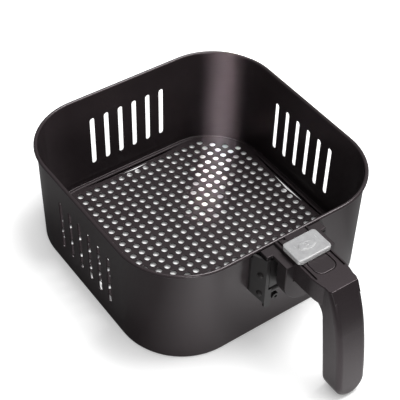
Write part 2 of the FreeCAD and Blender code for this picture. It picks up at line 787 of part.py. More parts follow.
def handle_front_shell(outer, cavity, seam):
    shell = outer.cut(cavity)
    posts = []
    for seat in grip_screw_places():
        posts.append(rod(boss_diameter / 2, seat, seat - V(0, across, 0)).common(outer))
    shell = shell.fuse(front_shell_parts() + posts)
    shell = shell.cut(seam)
    track = box(-handle_width / 2, handle_width / 2, plate_back, head_back, plate_top, head_top)
    track = fillet_some(track, head_top_radius, lambda e: e.BoundBox.ZMin > head_top - 1e-3
                        and e.BoundBox.XLength < 1e-3)
    shell = shell.fuse(track)
    for x in (-1, 1):
        groove_x = x * groove_offset
        shell = shell.cut(box(groove_x - groove_width / 2, groove_x + groove_width / 2, plate_back + past,
                              collar_front - groove_front, head_top - groove_depth, head_top + past))
        foot = V(x * head_screw_spacing / 2, screw_bar_y, stay_arm_level)
        shell = shell.cut(rod(screw_diameter / 2, foot, V(foot.x, foot.y, head_screw_top)))
    well = rounded_block(button_width + 2 * gap, button_depth + 2 * gap, button_corner + gap,
                         head_ceiling - past, head_top + past, button_y)
    notch = box(stop_right + gap, stop_left - gap, plate_back + past, guard_back - gap, stop_foot,
                head_top + past)
    shell = shell.cut(well).cut(notch)
    shell = shell.cut(lever_pin())
    for seat in grip_screw_places():
        shell = shell.cut(rod(screw_diameter / 2, seat, seat - V(0, grip_screw_length, 0)))
    return shell.removeSplitter()


def handle_rear_shell(outer, cavity, seam, front):
    shell = outer.cut(cavity)
    inner = []
    for x in (-1, 1):
        foot = V(x * head_screw_spacing / 2, screw_bar_y, head_bottom - through)
        boss = rod(rear_boss_diameter / 2, foot, V(foot.x, foot.y, stay_arm_level - stay_plate / 2))
        inner.append(boss.common(outer))
    foot, floor = V(0, button_y, head_floor - bury), V(0, button_y, head_floor)
    inside = spring_radius + spring_seat_clear
    ring = rod(inside + spring_seat_wall, foot, floor + V(0, 0, spring_seat_height))
    ring = ring.cut(rod(inside, floor, floor + V(0, 0, spring_seat_height + past)))
    inner.append(ring)
    for seat in grip_screw_places():
        inner.append(rod(boss_diameter / 2, seat, seat - V(0, across, 0)).common(outer))
    grip_part = shell.fuse(inner[-2:]).common(seam)
    shell = grip_part.fuse(inner[:-2]).cut(front)
    for x in (-1, 1):
        foot = V(x * head_screw_spacing / 2, screw_bar_y, head_bottom - through)
        seat = V(foot.x, foot.y, head_seat)
        shell = shell.cut(rod(screw_diameter / 2 + slip, foot, seat + V(0, 0, through / 2)))
        shell = shell.cut(rod(screw_head / 2 + screw_head_clear, foot, seat))
    for seat in grip_screw_places():
        open_end = seat + V(0, through / 4, 0)
        shell = shell.cut(rod(screw_diameter / 2 + slip, open_end, seat - V(0, through, 0)))
        shell = shell.cut(rod(screw_head / 2 + screw_head_clear, open_end, seat - V(0, grip_head_sink, 0)))
    return shell.removeSplitter()


def grip_screws():
    screws = []
    for seat in grip_screw_places():
        inner = seat - V(0, grip_head_sink, 0)
        head = rod(screw_head / 2, inner + V(0, screw_head_height, 0), inner)
        shank = rod(screw_diameter / 2, inner, seat - V(0, grip_screw_length, 0))
        screws.append(head.fuse(shank).removeSplitter())
    return Part.makeCompound(screws)


def head_screws():
    screws = []
    for x in (-1, 1):
        seat = V(x * head_screw_spacing / 2, screw_bar_y, head_seat)
        head = rod(screw_head / 2, seat - V(0, 0, screw_head_height), seat)
        shank = rod(screw_diameter / 2, seat, V(seat.x, seat.y, head_screw_top))
        screws.append(head.fuse(shank).removeSplitter())
    return Part.makeCompound(screws)


# ---------------------------------------------------------------------------------------------------
# Moving pieces
# ---------------------------------------------------------------------------------------------------

def release_button():
    top = head_top
    bottom = top - button_height
    cap = rounded_block(button_width, button_depth, button_corner, bottom, top, button_y)
    cap = fillet_some(cap, button_edge_radius, lambda e: e.BoundBox.ZMin > top - 1e-6)
    flange_top = head_ceiling - flange_clear
    flange = rounded_block(button_width + 2 * button_flange, button_depth + 2 * button_flange,
                           button_corner + button_flange, bottom, flange_top, button_y)
    hollow = rounded_block(button_width - 2 * button_wall, button_depth - 2 * button_wall,
                           button_corner - button_wall, bottom - past, top - button_wall, button_y)
    stem = rod(stem_diameter / 2, V(0, button_y, lever_top + gap), V(0, button_y, top - button_wall / 2))
    return cap.fuse(flange).cut(hollow).fuse(stem).removeSplitter()


def button_guard():
    middle_y = guard_front + guard_length / 2
    foot = head_top + gap
    top = foot + guard_height
    body = rounded_block(guard_width, guard_length, guard_corner, foot, top, middle_y)
    body = fillet_some(body, guard_edge_radius, lambda e: e.BoundBox.ZMin > top - 1e-6)
    hollow = rounded_block(guard_width - 2 * guard_wall, guard_length - 2 * guard_wall,
                           guard_corner - guard_wall, foot - past, top - guard_wall, middle_y)
    body = body.cut(hollow)
    seat = V(0, middle_y, top - pad_sink)
    stretch = FreeCAD.Matrix()
    stretch.scale(V(pad_width / 2, pad_depth / 2, 1.0))
    pad = Part.makeCylinder(1.0, pad_rise + pad_sink).transformGeometry(stretch).translated(seat)
    nub = Part.makeCylinder(nub_diameter / 2, nub_rise + pad_sink, seat)
    rails = []
    for x in (-1, 1):
        rail_x = x * groove_offset
        half = groove_width / 2 - gap
        rails.append(box(rail_x - half, rail_x + half, guard_front + rail_inset, guard_back - rail_inset,
                         head_top - groove_depth + gap, foot + rail_bury))
    return body.fuse([pad, nub] + rails).removeSplitter()


def guard_stop():
    front = guard_back + gap
    return box(stop_left, stop_right, front, front + stop_length, stop_foot, head_top - stop_sink)


def latch_lever():
    low = lever_top - lever_thickness
    nose = button_y - lever_nose
    hook_back = bracket_front - hook_from_wall
    hook_front = hook_back - hook_thickness
    tip = lever_top - hook_drop
    outline = [(nose, low), (nose, lever_top), (hook_back, lever_top), (hook_back, tip + hook_bevel),
               (hook_front + hook_flat, tip), (hook_front, tip + hook_flat),
               (hook_front, low)]
    arm = side_plate(outline, -lever_width / 2, lever_width / 2)
    half = lever_width / 2 + hub_side
    hub = rod(hub_radius, V(-half, pivot_y, pivot_z), V(half, pivot_y, pivot_z))
    bore = rod(pin_diameter / 2 + slip, V(-through, pivot_y, pivot_z), V(through, pivot_y, pivot_z))
    return arm.fuse(hub).cut(bore).removeSplitter()


def lever_pin():
    return rod(pin_diameter / 2, V(-pin_half, pivot_y, pivot_z), V(pin_half, pivot_y, pivot_z))


def return_spring():
    foot = head_floor + spring_wire / 2 + spring_rest
    height = lever_top - lever_thickness - spring_rest - spring_wire / 2 - foot
    helix = Part.makeHelix(height / spring_turns, height, spring_radius)
    start = V(spring_radius, 0, 0)
    ring = Part.Wire(Part.makeCircle(spring_wire / 2, start, V(0, 1, 0)))
    coil = Part.Wire(helix).makePipeShell([ring], True, True)
    return coil.translated(V(0, button_y, foot))


# ---------------------------------------------------------------------------------------------------
# Build
# ---------------------------------------------------------------------------------------------------

def main():
    os.makedirs("parts", exist_ok=True)
    wall = basket_wall()
    save("basket_wall", wall)
    save("basket_floor", basket_floor())
    bracket = wall_bracket()
    save("wall_bracket", bracket)
    save("bracket_rivets", bracket_rivets(wall))
    save("bracket_posts", bracket_posts(wall))
    save("cross_pins", cross_pins(bracket))
    save("pin_sleeve", pin_sleeve())
    save("handle_stay", handle_stay())
    save("collar", collar())
    save("collar_screws", collar_screws())
    outer = handle_form()
    cavity = handle_cavity()
    seam = seam_zone()
    front = handle_front_shell(outer, cavity, seam)
    save("handle_front_shell", front)
    save("handle_rear_shell", handle_rear_shell(outer, cavity, seam, front))
    save("grip_screws", grip_screws())
    save("head_screws", head_screws())
    save("release_button", release_button())
    save("button_guard", button_guard())
    save("guard_stop", guard_stop())
    save("latch_lever", latch_lever())
    save("lever_pin", lever_pin())
    save("return_spring", return_spring())


main()
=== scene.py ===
# %% [markdown]
# # The basket of an air fryer
# This lesson dresses an engineered model for its portrait. The frame holds every piece at its true
# size, in metres, standing on the plane z = 0 with its handle along -Y. We load it first, because
# every later step measures it instead of guessing.

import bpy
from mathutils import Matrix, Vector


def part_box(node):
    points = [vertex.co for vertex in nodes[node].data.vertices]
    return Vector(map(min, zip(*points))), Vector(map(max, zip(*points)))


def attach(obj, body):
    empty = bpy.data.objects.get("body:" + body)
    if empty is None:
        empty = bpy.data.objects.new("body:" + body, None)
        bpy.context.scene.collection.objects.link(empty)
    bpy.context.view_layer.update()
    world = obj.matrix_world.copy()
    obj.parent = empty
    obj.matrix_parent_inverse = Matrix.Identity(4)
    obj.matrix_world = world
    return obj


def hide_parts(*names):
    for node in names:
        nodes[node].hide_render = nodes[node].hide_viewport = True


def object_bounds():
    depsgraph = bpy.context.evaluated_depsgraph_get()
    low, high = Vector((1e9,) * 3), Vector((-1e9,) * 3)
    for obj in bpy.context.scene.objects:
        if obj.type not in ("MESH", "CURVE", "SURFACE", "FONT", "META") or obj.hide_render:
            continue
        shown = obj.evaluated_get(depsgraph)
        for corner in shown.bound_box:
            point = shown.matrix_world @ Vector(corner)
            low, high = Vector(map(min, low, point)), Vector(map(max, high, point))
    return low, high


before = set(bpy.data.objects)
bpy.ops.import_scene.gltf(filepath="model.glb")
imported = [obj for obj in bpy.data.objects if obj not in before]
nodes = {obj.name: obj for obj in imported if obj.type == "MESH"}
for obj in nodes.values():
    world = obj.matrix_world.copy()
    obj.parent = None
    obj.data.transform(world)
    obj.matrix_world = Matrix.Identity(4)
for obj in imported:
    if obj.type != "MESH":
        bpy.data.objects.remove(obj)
cad_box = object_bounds()
print("pieces in the frame:", len(nodes))

# %% [markdown]
# Blender's own modules come next. The object is small, so lengths are written in millimetres times
# `mm`. That keeps the numbers the ones that a maker would read off a caliper.

# %% Modules and the unit
import math

import bmesh
import bpy
from mathutils import Matrix, Vector
from mathutils.geometry import delaunay_2d_cdt

mm = 0.001
size = (cad_box[1] - cad_box[0]) / mm
print("whole object, mm: %.1f x %.1f x %.1f" % tuple(size))

# %% [markdown]
# ## Finishes
# Each finish is a small graph of shader nodes. Three helpers keep the graphs short: one starts a
# material with its Principled shader, one adds a node and sets its sockets, and one joins two
# sockets. Numbers that are the same all over a surface go straight onto the shader's own sockets,
# so that they survive an export.

# %% Helpers for shader graphs
def start_finish(name, **sockets):
    """A new material. Keywords are Principled sockets with spaces written as underscores."""
    material = bpy.data.materials.new(name + "_finish")
    material.use_nodes = True
    shader = material.node_tree.nodes["Principled BSDF"]
    for socket, value in sockets.items():
        shader.inputs[socket.replace("_", " ")].default_value = value
    return material, shader


def add(material, kind, **settings):
    """A node of a kind. Keywords set sockets by name, or the node's own properties."""
    node = material.node_tree.nodes.new("ShaderNode" + kind)
    for key, value in settings.items():
        socket = node.inputs.get(key.replace("_", " "))
        if socket is not None:
            socket.default_value = value
        else:
            setattr(node, key, value)
    return node


def join(material, source, target):
    material.node_tree.links.new(source, target)


print("helpers for finishes: start_finish, add, join")

# %% [markdown]
# Texture needs a place to be measured from. Object coordinates are in metres here, so a scale of
# 1000 makes one cycle of noise about one millimetre long. `grain` gives noise of a chosen size in
# millimetres, `spread` squeezes a 0-to-1 value into the range that a socket wants, and `tint` turns
# it into a colour between a dark one and a light one.

# %% Noise by its real size
def grain(material, size_mm, detail=3.0, rough=0.55, stretch=(1, 1, 1)):
    place = add(material, "TexCoord")
    scaled = add(material, "Mapping")
    scaled.inputs["Scale"].default_value = stretch
    noise = add(material, "TexNoise", Scale=1 / (size_mm * mm), Detail=detail, Roughness=rough)
    join(material, place.outputs["Object"], scaled.inputs["Vector"])
    join(material, scaled.outputs["Vector"], noise.inputs["Vector"])
    return noise.outputs["Fac"]


def spread(material, value, low, high, start=0.2, end=0.8):
    ranged = add(material, "MapRange")
    numbers = {"From Min": start, "From Max": end, "To Min": low, "To Max": high}
    for socket, number in numbers.items():
        ranged.inputs[socket].default_value = number
    join(material, value, ranged.inputs["Value"])
    return ranged.outputs["Result"]


def tint(material, value, dark, light, start=0.2, end=0.8):
    ramp = add(material, "ValToRGB")
    ramp.color_ramp.elements[0].position = start
    ramp.color_ramp.elements[0].color = (*dark, 1)
    ramp.color_ramp.elements[1].position = end
    ramp.color_ramp.elements[1].color = (*light, 1)
    join(material, value, ramp.inputs["Fac"])
    return ramp.outputs["Color"]


print("noise helpers: grain, spread, tint")

# %% [markdown]
# Fine relief is cheaper as bump than as geometry. A bump node bends the light by a height field,
# and a second one can take the first one's result, so that a fine texture lies on a broad one.

# %% Bumps from noise
def dimple(material, shader, heights, depth_mm, strength):
    """Bumps from one or more height fields in turn, each with its own depth in millimetres."""
    last = None
    for height, depth in zip(heights, depth_mm):
        bump = add(material, "Bump", Strength=strength, Distance=depth * mm)
        join(material, height, bump.inputs["Height"])
        if last is not None:
            join(material, last, bump.inputs["Normal"])
        last = bump.outputs["Normal"]
    join(material, last, shader.inputs["Normal"])


print("relief helper: dimple")

# %% [markdown]
# ### Non-stick coating
# The sheet steel is sprayed with a dark non-stick coat and baked. It has a soft sheen, a faint
# orange-peel ripple of a few millimetres, a fine grain of the filler, and places that are a little
# more rubbed than others. Fine bump over broad bump gives both scales at once.

# %% Coated steel
def coated_steel():
    finish, shader = start_finish("coated_steel", Metallic=0.0, IOR=1.52, Coat_Weight=0.35,
                                  Coat_Roughness=0.11, Specular_IOR_Level=0.38,
                                  Specular_Tint=(1.0, 0.88, 0.92, 1))
    cloud = grain(finish, size_mm=34, detail=2)
    filler = grain(finish, size_mm=0.55, detail=2)
    ripple = grain(finish, size_mm=2.6, detail=2, rough=0.4)
    colour = tint(finish, cloud, dark=(0.0275, 0.0212, 0.0230), light=(0.0350, 0.0272, 0.0296))
    join(finish, colour, shader.inputs["Base Color"])
    join(finish, spread(finish, cloud, low=0.27, high=0.36), shader.inputs["Roughness"])
    dimple(finish, shader, heights=(ripple, filler), depth_mm=(0.035, 0.012), strength=0.5)
    return finish


coating = coated_steel()
print("finish:", coating.name)

# %% [markdown]
# ### Handle plastic
# The handle is moulded in a glass-filled plastic with a fine spark-eroded texture. The texture
# scatters light, so the surface is satin and looks lighter where it faces up. The grain is a
# fraction of a millimetre, far finer than the form, and a second, slower noise keeps large faces
# from looking printed.

# %% Moulded plastics
cell_size = 1.7
fine_share = 0.6


def moulded_plastic(name, dark, light, rough, texture_mm, depth_mm):
    """Cells of the mould's texture are cell_size times the noise that runs over them."""
    finish, shader = start_finish(name, IOR=1.5, Specular_IOR_Level=0.45,
                                  Specular_Tint=(1.0, 0.86, 0.91, 1))
    slow = grain(finish, size_mm=22, detail=3)
    fine = grain(finish, texture_mm, detail=2)
    cells = add(finish, "TexVoronoi", Scale=1 / (texture_mm * cell_size * mm))
    join(finish, add(finish, "TexCoord").outputs["Object"], cells.inputs["Vector"])
    join(finish, tint(finish, slow, dark, light), shader.inputs["Base Color"])
    join(finish, spread(finish, fine, *rough), shader.inputs["Roughness"])
    dimple(finish, shader, heights=(cells.outputs["Distance"], fine),
           depth_mm=(depth_mm, depth_mm * fine_share), strength=0.6)
    return finish


handle_finish = moulded_plastic("handle_plastic", dark=(0.0205, 0.0162, 0.0176),
                                light=(0.0265, 0.0212, 0.0230), rough=(0.25, 0.34),
                                texture_mm=0.34, depth_mm=0.010)
collar_finish = moulded_plastic("collar_plastic", dark=(0.0125, 0.0105, 0.0112),
                                light=(0.0165, 0.0139, 0.0148), rough=(0.34, 0.46),
                                texture_mm=0.40, depth_mm=0.012)
button_finish = moulded_plastic("button_plastic", dark=(0.0150, 0.0126, 0.0134),
                                light=(0.0200, 0.0168, 0.0178), rough=(0.26, 0.34),
                                texture_mm=0.28, depth_mm=0.008)
print("finishes:", handle_finish.name, collar_finish.name, button_finish.name)

# %% [markdown]
# ### Steels
# The bracket is folded plate with a thin black coat. The rivets are as dark, but their heads are
# rubbed. The screws, the lever and the spring are bare or zinc-plated, with drawing lines along
# one direction. One recipe serves them all: noise that is stretched along an axis makes the lines.

# %% Plate, fasteners and spring wire
def drawn_metal(name, dark, light, metallic, rough, line_mm, stretch):
    finish, shader = start_finish(name, Metallic=metallic)
    lines = grain(finish, line_mm, detail=4, stretch=stretch)
    patches = grain(finish, size_mm=7, detail=3)
    join(finish, tint(finish, patches, dark, light), shader.inputs["Base Color"])
    join(finish, spread(finish, lines, *rough), shader.inputs["Roughness"])
    dimple(finish, shader, heights=(lines,), depth_mm=(0.01,), strength=0.5)
    return finish


bracket_finish = drawn_metal("bracket_steel", dark=(0.010, 0.0085, 0.0088),
                             light=(0.017, 0.0148, 0.0152), metallic=0.0, rough=(0.32, 0.46),
                             line_mm=0.6, stretch=(1, 1, 0.2))
rivet_finish = drawn_metal("rivet_steel", dark=(0.016, 0.0140, 0.0142),
                           light=(0.034, 0.0305, 0.0305), metallic=0.2, rough=(0.30, 0.46),
                           line_mm=0.4, stretch=(1, 1, 1))
bare_finish = drawn_metal("bare_steel", dark=(0.42, 0.41, 0.40), light=(0.56, 0.55, 0.53),
                          metallic=1.0, rough=(0.22, 0.38), line_mm=0.3, stretch=(0.15, 1, 1))
spring_finish = drawn_metal("spring_steel", dark=(0.36, 0.35, 0.33), light=(0.50, 0.48, 0.45),
                            metallic=1.0, rough=(0.18, 0.30), line_mm=0.2, stretch=(1, 1, 1))
print("finishes:", bracket_finish.name, rivet_finish.name, bare_finish.name, spring_finish.name)

# %% [markdown]
# ### Clear guard
# The guard is a clear cap, polished outside and matt inside. Transmission carries the light
# through, and a roughness of its own blurs what lies beneath. The colour is mixed by how far a face
# looks
# up, and that is painted light: the level top is painted a darker grey, as painted shade, while the
# sides and the rounded edges are painted white, as a painted highlight, so the walls look milky
# where they are seen edge-on. A hard clear coat adds the crisp highlights.
#
# Blender's Mix node serves numbers, vectors and colours, and has sockets of the same name for
# each, so we first make a helper that holds the numbers of its colour sockets.

# %% Mix two colours
def mix_colours(material, factor, first, second):
    """Join three sockets to the colour sockets of a Mix node, and give its colour back."""
    factor_socket, first_socket, second_socket, mixed_socket = 0, 6, 7, 2
    mixer = add(material, "Mix", data_type="RGBA")
    join(material, factor, mixer.inputs[factor_socket])
    join(material, second, mixer.inputs[second_socket])
    if isinstance(first, tuple):
        mixer.inputs[first_socket].default_value = first
    else:
        join(material, first, mixer.inputs[first_socket])
    return mixer.outputs[mixed_socket]


print("helper for finishes: mix_colours")

# %% [markdown]
# A normal that points straight up has a Z of one. Where Z is near one the colour is the darker grey
# of the painted shade on the top, and elsewhere it is white, a painted highlight. Object
# coordinates carry the haze and the fine scratches, which run the way that the guard slides.

# %% Clear plastic
looks_level, looks_up = 0.75, 0.99
white = (1.0, 1.0, 1.0, 1)


def clear_plastic():
    finish, shader = start_finish("clear_plastic", IOR=1.49, Transmission_Weight=0.5,
                                  Coat_Weight=0.5, Coat_Roughness=0.06, Specular_IOR_Level=0.6)
    haze = grain(finish, size_mm=5, detail=3)
    scratches = grain(finish, size_mm=0.5, detail=3, stretch=(1, 0.08, 1))
    facing = add(finish, "SeparateXYZ")
    join(finish, add(finish, "TexCoord").outputs["Normal"], facing.inputs["Vector"])
    # Painted light: faces that look up get a darker grey as painted shade, and the sides and edges
    # get white as a painted highlight.
    top = spread(finish, facing.outputs["Z"], 0.0, 1.0, start=looks_level, end=looks_up)
    painted_dim_top = tint(finish, haze, dark=(0.60, 0.60, 0.61), light=(0.84, 0.84, 0.85))
    join(finish, mix_colours(finish, top, white, painted_dim_top), shader.inputs["Base Color"])
    join(finish, spread(finish, scratches, low=0.14, high=0.30), shader.inputs["Roughness"])
    dimple(finish, shader, heights=(haze, scratches), depth_mm=(0.008, 0.002), strength=0.3)
    return finish


guard_finish = clear_plastic()
print("finish:", guard_finish.name)

# %% [markdown]
# ## Tools for building pieces
# Most sheet-metal shapes here are stacks of rings: the same rounded outline, repeated while it
# moves and shrinks. `skin` turns stacked rings into quads, and `new_piece` makes an object of any
# list of points and faces.

# %% Mesh helpers
def new_piece(name, points, faces):
    mesh = bpy.data.meshes.new(name)
    mesh.from_pydata([tuple(p) for p in points], [], faces)
    mesh.update()
    piece = bpy.data.objects.new(name, mesh)
    bpy.context.collection.objects.link(piece)
    return piece


def skin(rings, skip=None, first=0):
    """Faces between stacked rings of equal length. skip(row, column) leaves a face out."""
    count = len(rings[0])
    faces = []
    for row in range(len(rings) - 1):
        for column in range(count):
            if skip is not None and skip(row, column):
                continue
            after = (column + 1) % count
            low, high = first + row * count, first + (row + 1) * count
            faces.append((low + column, low + after, high + after, high + column))
    return faces


print("mesh helpers: new_piece, skin")

# %% [markdown]
# A mesh that is made point by point needs some care before it shades well. Points that lie
# together are welded, loose ones are dropped, and faces are turned outwards. Then the large faces
# decide how the shading runs, so that flat stays flat.

# %% Clean and shade
def weld(piece, gap):
    """Merge the points that lie closer together than gap, in metres."""
    work = bmesh.new()
    work.from_mesh(piece.data)
    bmesh.ops.remove_doubles(work, verts=work.verts, dist=gap)
    work.to_mesh(piece.data)
    work.free()


def outward(piece):
    """Turn every face outwards and drop loose points."""
    work = bmesh.new()
    work.from_mesh(piece.data)
    bmesh.ops.delete(work, geom=[v for v in work.verts if not v.link_faces], context="VERTS")
    bmesh.ops.recalc_face_normals(work, faces=work.faces)
    work.to_mesh(piece.data)
    work.free()


large_face_weight = 80


def flat_faces_first(piece):
    """Shade smooth, with the large faces deciding the normals of the corners they share."""
    piece.data.shade_smooth()
    normals = piece.modifiers.new("flat_faces", "WEIGHTED_NORMAL")
    normals.keep_sharp = True
    normals.weight = large_face_weight


print("mesh helpers: weld, outward, flat_faces_first")

# %% [markdown]
# A piece is done when it has its finish and the body that it rides on. A piece may also take the
# place of a node of the frame, which is then hidden.

# %% Dress and place a piece
def place_piece(piece, finish, body, slot, *stands_for):
    piece.data.materials.append(finish)
    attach(piece, body)
    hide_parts(*stands_for)
    print("piece:", piece.name, "faces:", len(piece.data.polygons))


print("helper: place_piece")

# %% [markdown]
# ## Basket wall
# The wall is one sheet, drawn deep and trimmed, with its top edge curled outwards into a bead and
# its foot folded in to carry the floor. We draw the face that the food touches as a grid, ring by
# ring from the foot to the end of the curl, and let a Solidify modifier grow the sheet outwards.
# The rings come from the frame's own box, so the bead ends exactly where the real one does.

# %% Sheet sizes
wall_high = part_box("basket_wall")[1]
rim_half = wall_high.x
wall_top = wall_high.z
bead_radius = 1.6 * mm
sheet = 1.0 * mm
corner_radius = 54 * mm
base_half = 107.15 * mm
foot_bend = 1.4 * mm
foot_width = 8 * mm
corner_steps = 20
bead_centre = wall_top - bead_radius
top_half = rim_half - 2 * bead_radius + sheet


def half_width(z):
    """Middle of the basket to the outside of its wall at a height: the wall leans out a little."""
    return base_half + (top_half - base_half) * z / bead_centre


print("wall, mm: foot %.1f, top %.1f" % (2 * base_half / mm, 2 * top_half / mm))

# %% [markdown]
# Six vents stand in each of three walls. A slot needs a row of points round its ends, so each slot
# gets its own columns in the grid, spaced like the points of a half circle seen from the front.
# Moving one row of those columns up or down turns the square ends of the gap into round ones, and
# the mesh stays all quads.

# %% Columns round the basket
slot_pitch = 13.9 * mm
slot_half = 2.3 * mm
slot_foot, slot_head = 20 * mm, 70 * mm
slot_count = 6
slot_steps = 8
front_reach, front_step = 48, 16
RIGHT, REAR, LEFT, FRONT = range(4)


def slot_columns():
    """(distance along the wall, rise of the slot's end there) for each column, or None outside."""
    columns = []
    for index in range(slot_count):
        middle = (index - (slot_count - 1) / 2) * slot_pitch
        columns.append((middle - slot_pitch / 2, None))
        for step in range(slot_steps + 1):
            turn = math.pi * (1 - step / slot_steps)
            columns.append((middle + slot_half * math.cos(turn), slot_half * math.sin(turn)))
    columns.append((slot_count * slot_pitch / 2, None))
    return columns


def wall_columns():
    """Every column of the grid: ("side", side, along, rise) or ("corner", side, angle, None)."""
    columns = []
    plain = [(along * mm, None) for along in range(-front_reach, front_reach + 1, front_step)]
    for side in (RIGHT, REAR, LEFT, FRONT):
        for along, rise in (plain if side == FRONT else slot_columns()):
            columns.append(("side", side, along, rise))
        for step in range(corner_steps + 1):
            columns.append(("corner", side, step / corner_steps * math.pi / 2, None))
    return columns


columns = wall_columns()
print("columns round the wall:", len(columns))

# %% [markdown]
# A column knows its side, and either its distance along that side or its angle in the corner
# after it. One function turns that into a place, for any height and any step in or out.

# %% A point on the wall
def wall_point(column, offset, z):
    """The place of a column at a height, moved out or in by offset from the wall's outside."""
    kind, side, value, _ = column
    half = half_width(z)
    turn = side * math.pi / 2
    if kind == "side":
        x, y = half + offset, value
    else:
        centre = half - corner_radius
        x = centre + (corner_radius + offset) * math.cos(value)
        y = centre + (corner_radius + offset) * math.sin(value)
    return Vector((x * math.cos(turn) - y * math.sin(turn),
                   x * math.sin(turn) + y * math.cos(turn), z))


print("a corner point, m:", tuple(round(v, 4) for v in wall_point(columns[-1], 0, wall_top)))

# %% [markdown]
# The rows run up the inside: the fold at the foot, the straight wall, then the curl over the rim.
# The curl is four fifths of a circle, and it ends where it meets the wall's outside again.

# %% Rows up the wall
fold_steps = 4
slot_rows = 4
curl_steps = 14
curl_start, curl_end = math.pi, math.radians(-108)
below_slots_mm, above_slots_mm = (5, 10, 15), (75, 81, 87)
slot_low_row, slot_high_row = slot_foot + slot_half, slot_head - slot_half


def wall_rows():
    """(offset from the outside of the wall, height) of each ring, from the foot to the curl."""
    rows = [(-foot_width, sheet), (-foot_width / 2, sheet)]
    inner_bend = foot_bend - sheet
    for step in range(fold_steps + 1):
        turn = step / fold_steps * math.pi / 2
        rows.append((-foot_bend + inner_bend * math.sin(turn),
                     foot_bend - inner_bend * math.cos(turn)))
    rows += [(-sheet, z * mm) for z in below_slots_mm]
    rows += [(-sheet, slot_low_row + (slot_high_row - slot_low_row) * step / slot_rows)
             for step in range(slot_rows + 1)]
    rows += [(-sheet, z * mm) for z in above_slots_mm]
    bead_middle = rim_half - bead_radius - top_half
    for step in range(curl_steps + 1):
        turn = curl_start + (curl_end - curl_start) * step / curl_steps
        rows.append((bead_middle + bead_radius * math.cos(turn),
                     bead_centre + bead_radius * math.sin(turn)))
    return rows


rows = wall_rows()
print("rows up the wall:", len(rows))

# %% [markdown]
# Rows and columns meet in rings of points. In the rows at the two ends of the slots, each point
# rises or falls by its column's share of the half circle, and the faces inside a slot are left out.

# %% Rings with slots
hair = 1e-6


def wall_ring(row):
    offset, z = row
    ring = []
    for column in columns:
        rise = column[3]
        point = wall_point(column, offset, min(z, bead_centre))
        point.z = z
        if rise is not None and abs(z - slot_low_row) < hair:
            point.z = z - rise
        if rise is not None and abs(z - slot_high_row) < hair:
            point.z = z + rise
        ring.append(point)
    return ring


def in_slot(row, column):
    after = columns[(column + 1) % len(columns)]
    in_columns = columns[column][3] is not None and after[3] is not None
    middle = (rows[row][1] + rows[row + 1][1]) / 2
    return in_columns and slot_low_row - hair < middle < slot_high_row


wall_rings = [wall_ring(row) for row in rows]
print("points on the wall:", sum(len(ring) for ring in wall_rings))

# %% [markdown]
# The sheet grows away from the side that its faces look to, so they have to look at the food. An
# open sheet has no outside for Blender to find, so we ask the face nearest mid height which way it
# looks, and turn them all if it is the wrong way. Solidify then gives the sheet its thickness, and
# a narrow bevel takes the knife edge off the slots.

# %% Build the wall
weld_gap = 1e-7
mid_height = 50 * mm
edge_round = 0.16 * mm
edge_angle = math.radians(40)
edge_segments = 2


def face_the_food(piece):
    work = bmesh.new()
    work.from_mesh(piece.data)
    probe = min(work.faces, key=lambda face: abs(face.calc_center_median().z - mid_height))
    away_from_middle = probe.calc_center_median() * Vector((1, 1, 0))
    if probe.normal.dot(away_from_middle) >= 0:
        bmesh.ops.reverse_faces(work, faces=work.faces)
    work.to_mesh(piece.data)
    work.free()


wall_points = [p for ring in wall_rings for p in ring]
wall = new_piece("drawn_wall", wall_points, skin(wall_rings, skip=in_slot))
outward(wall)
weld(wall, weld_gap)
face_the_food(wall)
thick = wall.modifiers.new("sheet", "SOLIDIFY")
thick.thickness = sheet
thick.offset = -1
thick.use_even_offset = True
rounding = wall.modifiers.new("edge_round", "BEVEL")
rounding.width = edge_round
rounding.segments = edge_segments
rounding.limit_method = "ANGLE"
rounding.angle_limit = edge_angle
rounding.harden_normals = True
flat_faces_first(wall)
place_piece(wall, coating, "basket", "coated_steel", "basket_wall")

# %% [markdown]
# ## Basket floor
# The floor is a separate plate with a square pattern of punched holes and a rolled edge. A hole is
# more than a circle cut in a sheet: the punch pulls the top edge down a little, and that soft lip
# catches the light. So each hole is a short funnel of rings, and the flat plate between the holes
# is filled by a constrained triangulation, which needs no grid at all.

# %% Plate sizes
floor_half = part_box("basket_floor")[1].x
edge_radius = 1.2 * mm
plate_high, plate_low = 3.2 * mm, 2.2 * mm
floor_corner = 50 * mm
floor_corner_steps = 16
hole_radius = 2.7 * mm
hole_pitch = 8.38 * mm
hole_reach = 11
hole_steps = 20
lip = 0.22 * mm
rim_inset = 3.0 * mm


def rounded_square(half, radius, steps, z):
    """The points of a square with round corners, quarter by quarter, at a height."""
    ring = []
    for quarter in range(4):
        centre_x = (half - radius) * (1 if quarter in (0, 3) else -1)
        centre_y = (half - radius) * (1 if quarter in (0, 1) else -1)
        for step in range(steps + 1):
            turn = (quarter + step / steps) * math.pi / 2
            ring.append(Vector((centre_x + radius * math.cos(turn),
                                centre_y + radius * math.sin(turn), z)))
    return ring


def plate_outline(inset, z):
    """The floor's rounded square, inset from its outside."""
    return rounded_square(floor_half - inset, floor_corner - inset, floor_corner_steps, z)


def hole_ring(centre, radius, z):
    turns = [step / hole_steps * 2 * math.pi for step in range(hole_steps)]
    return [Vector((centre[0] + radius * math.cos(turn), centre[1] + radius * math.sin(turn), z))
            for turn in turns]


print("floor, mm: %.1f over its edge, holes %.1f" % (2 * floor_half / mm, 2 * hole_radius / mm))

# %% [markdown]
# The holes stop short of the rolled edge. A hole is kept where its middle stays inside the
# plate's outline by a fixed margin, and near a corner that test is the distance to the corner's
# own centre.

# %% Hole pattern
hole_margin = 7.95 * mm


def hole_fits(x, y):
    over_x = abs(x) - (floor_half - floor_corner)
    over_y = abs(y) - (floor_half - floor_corner)
    if over_x > 0 and over_y > 0:
        return math.hypot(over_x, over_y) <= floor_corner - hole_margin
    return True


